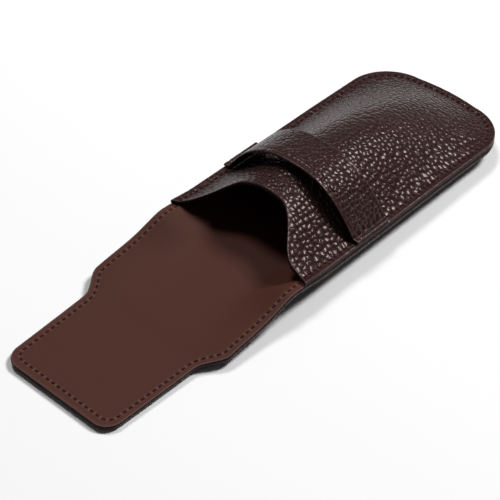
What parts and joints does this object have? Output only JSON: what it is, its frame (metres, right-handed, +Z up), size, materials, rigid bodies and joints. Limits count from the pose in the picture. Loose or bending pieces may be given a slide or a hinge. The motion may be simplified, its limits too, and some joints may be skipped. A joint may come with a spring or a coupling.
{
  "type": "watch travel case",
  "caption": "Soft leather pouch for a single wrist watch: an arched, U-mouthed pocket with a flap whose tongue tucks under a keeper band.",
  "frame": {"origin": "on the table under the middle of the open pouch", "axes": "+X runs to the closed end, +Y to the left side seam seen from the flap, +Z up from the table"},
  "size_m": [0.2152, 0.066, 0.0307],
  "materials": {
    "pebbled_leather": "pebbled grain, satin sheen",
    "lining_leather": "smooth, soft matt",
    "interlining_board": "matt fibre",
    "thread": "waxed thread"
  },
  "bodies": {
    "pouch": {"pouch_back_shell": "pebbled_leather", "pouch_back_board": "interlining_board", "pouch_back_lining": "lining_leather", "front_panel": "pebbled_leather", "front_panel_lining": "lining_leather", "keeper_band": "pebbled_leather", "keeper_band_lining": "lining_leather", "pouch_stitches": "thread"},
    "spine": {"spine_shell": "pebbled_leather", "spine_board": "interlining_board", "spine_lining": "lining_leather", "spine_stitches": "thread"},
    "flap": {"flap_shell": "pebbled_leather", "flap_board": "interlining_board", "flap_lining": "lining_leather", "flap_stitches": "thread"},
    "left_tongue": {"left_tongue_shell": "pebbled_leather", "left_tongue_board": "interlining_board", "left_tongue_lining": "lining_leather", "left_tongue_stitches": "thread"},
    "right_tongue": {"right_tongue_shell": "pebbled_leather", "right_tongue_board": "interlining_board", "right_tongue_lining": "lining_leather", "right_tongue_stitches": "thread"}
  },
  "joints": [
    {"name": "spine_fold", "type": "hinge", "parent": "pouch", "child": "spine", "pos_m": [-0.02136, 0, 0.01], "axis": [0, 1, 0], "range_deg": [0, 104.3]},
    {"name": "flap_fold", "type": "hinge", "parent": "spine", "child": "flap", "pos_m": [-0.03695, 0, 0.0064], "axis": [0, 1, 0], "range_deg": [0, 80.2]},
    {"name": "left_bend", "type": "hinge", "parent": "flap", "child": "left_tongue", "pos_m": [-0.03695, 0.007, 0.0064], "axis": [0.9984, 0, 0.0565], "range_deg": [0, 32]},
    {"name": "right_bend", "type": "hinge", "parent": "flap", "child": "right_tongue", "pos_m": [-0.03695, -0.007, 0.0064], "axis": [-0.9984, 0, -0.0565], "range_deg": [0, 32]}
  ],
  "couplings": [
    {"joint": "left_bend", "follows": "flap_fold", "ratio": 0.3985},
    {"joint": "right_bend", "follows": "flap_fold", "ratio": 0.3985}
  ]
}
